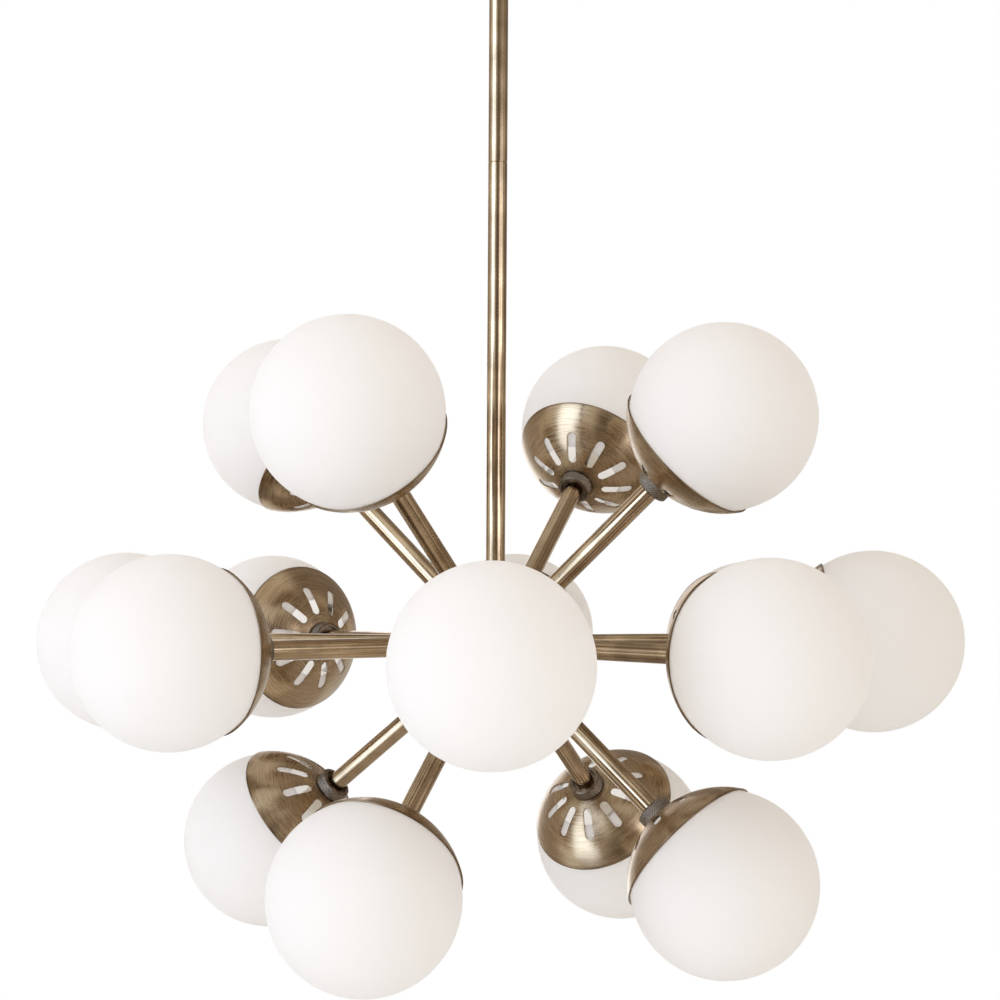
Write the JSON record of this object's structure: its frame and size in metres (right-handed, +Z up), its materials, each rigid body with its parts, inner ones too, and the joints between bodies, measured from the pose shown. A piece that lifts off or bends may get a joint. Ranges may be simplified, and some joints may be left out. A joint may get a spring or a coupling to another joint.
{
  "type": "chandelier",
  "caption": "Rod-hung ceiling chandelier: opal glass globes in slotted brass cups on arms that spread from a central hub, with a ceiling canopy and a swivel.",
  "frame": {"origin": "on the ceiling plane, midway between the strap's two box-screw slots", "axes": "+Z up into the ceiling, -Y towards the viewer, +X to the picture's right"},
  "size_m": [0.7743, 0.7756, 0.8918],
  "materials": {
    "antique_brass_rod": "antique brass, brushed along the rod, lacquered",
    "antique_brass_cup": "antique brass, brushed round the spun cup, darker at the edges",
    "antique_brass_fitting": "antique brass, satin",
    "plain_brass": "plain turned brass",
    "zinc_steel": "zinc-plated steel",
    "gunmetal": "dark gunmetal, knurled, satin",
    "opal_glass": "matt opal white, not clear",
    "bulb_glass": "frosted white",
    "spring_steel": "bare spring steel",
    "holder_phenolic": "black moulded phenolic",
    "junction_plastic": "pale moulded plastic",
    "wire_sleeve": "matt sleeve"
  },
  "bodies": {
    "ceiling_mount": {"ceiling_strap": "zinc_steel", "canopy": "antique_brass_fitting", "canopy_studs": "zinc_steel", "canopy_cap_nuts": "antique_brass_fitting", "hanger_tube": "plain_brass", "hanger_locknut": "zinc_steel", "canopy_collar": "antique_brass_fitting"},
    "swivel_head": {"swivel_yoke": "antique_brass_fitting", "swivel_pin": "antique_brass_fitting"},
    "light_frame": {"swivel_tongue": "antique_brass_fitting", "upper_stem": "antique_brass_rod", "lower_stem": "antique_brass_rod", "stem_coupler": "plain_brass", "hub_body": "antique_brass_fitting", "hub_cover": "antique_brass_fitting", "junction_block": "junction_plastic", "stem_cable": "wire_sleeve", "upper_arms": "antique_brass_rod", "middle_arms": "antique_brass_rod", "lower_arms": "antique_brass_rod", "arm_flexes": "wire_sleeve", "knurled_nuts": "gunmetal", "spring_clips": "spring_steel", "lamp_holders": "holder_phenolic", "bulbs": "bulb_glass", "upper_cup_1": "antique_brass_cup", "upper_cup_2": "antique_brass_cup", "upper_cup_3": "antique_brass_cup", "upper_cup_4": "antique_brass_cup", "middle_cup_1": "antique_brass_cup", "middle_cup_2": "antique_brass_cup", "middle_cup_3": "antique_brass_cup", "middle_cup_4": "antique_brass_cup", "middle_cup_5": "antique_brass_cup", "middle_cup_6": "antique_brass_cup", "middle_cup_7": "antique_brass_cup", "middle_cup_8": "antique_brass_cup", "lower_cup_1": "antique_brass_cup", "lower_cup_2": "antique_brass_cup", "lower_cup_3": "antique_brass_cup", "lower_cup_4": "antique_brass_cup"},
    "upper_globe_1_body": {"upper_globe_1": "opal_glass"},
    "upper_globe_2_body": {"upper_globe_2": "opal_glass"},
    "upper_globe_3_body": {"upper_globe_3": "opal_glass"},
    "upper_globe_4_body": {"upper_globe_4": "opal_glass"},
    "middle_globe_1_body": {"middle_globe_1": "opal_glass"},
    "middle_globe_2_body": {"middle_globe_2": "opal_glass"},
    "middle_globe_3_body": {"middle_globe_3": "opal_glass"},
    "middle_globe_4_body": {"middle_globe_4": "opal_glass"},
    "middle_globe_5_body": {"middle_globe_5": "opal_glass"},
    "middle_globe_6_body": {"middle_globe_6": "opal_glass"},
    "middle_globe_7_body": {"middle_globe_7": "opal_glass"},
    "middle_globe_8_body": {"middle_globe_8": "opal_glass"},
    "lower_globe_1_body": {"lower_globe_1": "opal_glass"},
    "lower_globe_2_body": {"lower_globe_2": "opal_glass"},
    "lower_globe_3_body": {"lower_globe_3": "opal_glass"},
    "lower_globe_4_body": {"lower_globe_4": "opal_glass"}
  },
  "joints": [
    {"name": "swivel_turn", "type": "hinge", "parent": "ceiling_mount", "child": "swivel_head", "pos_m": [0, 0, -0.0342], "axis": [0, 0, 1], "range_deg": [-170, 170]},
    {"name": "swivel_tilt", "type": "hinge", "parent": "swivel_head", "child": "light_frame", "pos_m": [0, 0, -0.0577], "axis": [1, 0, 0], "range_deg": [-45, 45]},
    {"name": "upper_globe_1_pull", "type": "slide", "parent": "light_frame", "child": "upper_globe_1_body", "axis": [0.6453, -0.3801, 0.6626], "range_m": [0, 0.1]},
    {"name": "upper_globe_2_pull", "type": "slide", "parent": "light_frame", "child": "upper_globe_2_body", "axis": [0.3461, 0.651, 0.6756], "range_m": [0, 0.1]},
    {"name": "upper_globe_3_pull", "type": "slide", "parent": "light_frame", "child": "upper_globe_3_body", "axis": [-0.65, 0.3603, 0.6691], "range_m": [0, 0.1]},
    {"name": "upper_globe_4_pull", "type": "slide", "parent": "light_frame", "child": "upper_globe_4_body", "axis": [-0.3999, -0.64, 0.6561], "range_m": [0, 0.1]},
    {"name": "middle_globe_1_pull", "type": "slide", "parent": "light_frame", "child": "middle_globe_1_body", "axis": [0, -1, -0.0087], "range_m": [0, 0.1]},
    {"name": "middle_globe_2_pull", "type": "slide", "parent": "light_frame", "child": "middle_globe_2_body", "axis": [0.6561, -0.7547, 0], "range_m": [0, 0.1]},
    {"name": "middle_globe_3_pull", "type": "slide", "parent": "light_frame", "child": "middle_globe_3_body", "axis": [0.9985, -0.0523, 0.0175], "range_m": [0, 0.1]},
    {"name": "middle_globe_4_pull", "type": "slide", "parent": "light_frame", "child": "middle_globe_4_body", "axis": [0.743, 0.669, -0.0175], "range_m": [0, 0.1]},
    {"name": "middle_globe_5_pull", "type": "slide", "parent": "light_frame", "child": "middle_globe_5_body", "axis": [0.0523, 0.9986, 0], "range_m": [0, 0.1]},
    {"name": "middle_globe_6_pull", "type": "slide", "parent": "light_frame", "child": "middle_globe_6_body", "axis": [-0.6626, 0.7489, -0.0087], "range_m": [0, 0.1]},
    {"name": "middle_globe_7_pull", "type": "slide", "parent": "light_frame", "child": "middle_globe_7_body", "axis": [-0.9962, 0.0872, 0], "range_m": [0, 0.1]},
    {"name": "middle_globe_8_pull", "type": "slide", "parent": "light_frame", "child": "middle_globe_8_body", "axis": [-0.7826, -0.6225, 0], "range_m": [0, 0.1]},
    {"name": "lower_globe_1_pull", "type": "slide", "parent": "light_frame", "child": "lower_globe_1_body", "axis": [0.6536, -0.3774, -0.6561], "range_m": [0, 0.1]},
    {"name": "lower_globe_2_pull", "type": "slide", "parent": "light_frame", "child": "lower_globe_2_body", "axis": [0.4032, 0.6579, -0.6361], "range_m": [0, 0.1]},
    {"name": "lower_globe_3_pull", "type": "slide", "parent": "light_frame", "child": "lower_globe_3_body", "axis": [-0.6973, 0.3553, -0.6225], "range_m": [0, 0.1]},
    {"name": "lower_globe_4_pull", "type": "slide", "parent": "light_frame", "child": "lower_globe_4_body", "axis": [-0.3458, -0.6643, -0.6626], "range_m": [0, 0.1]}
  ]
}
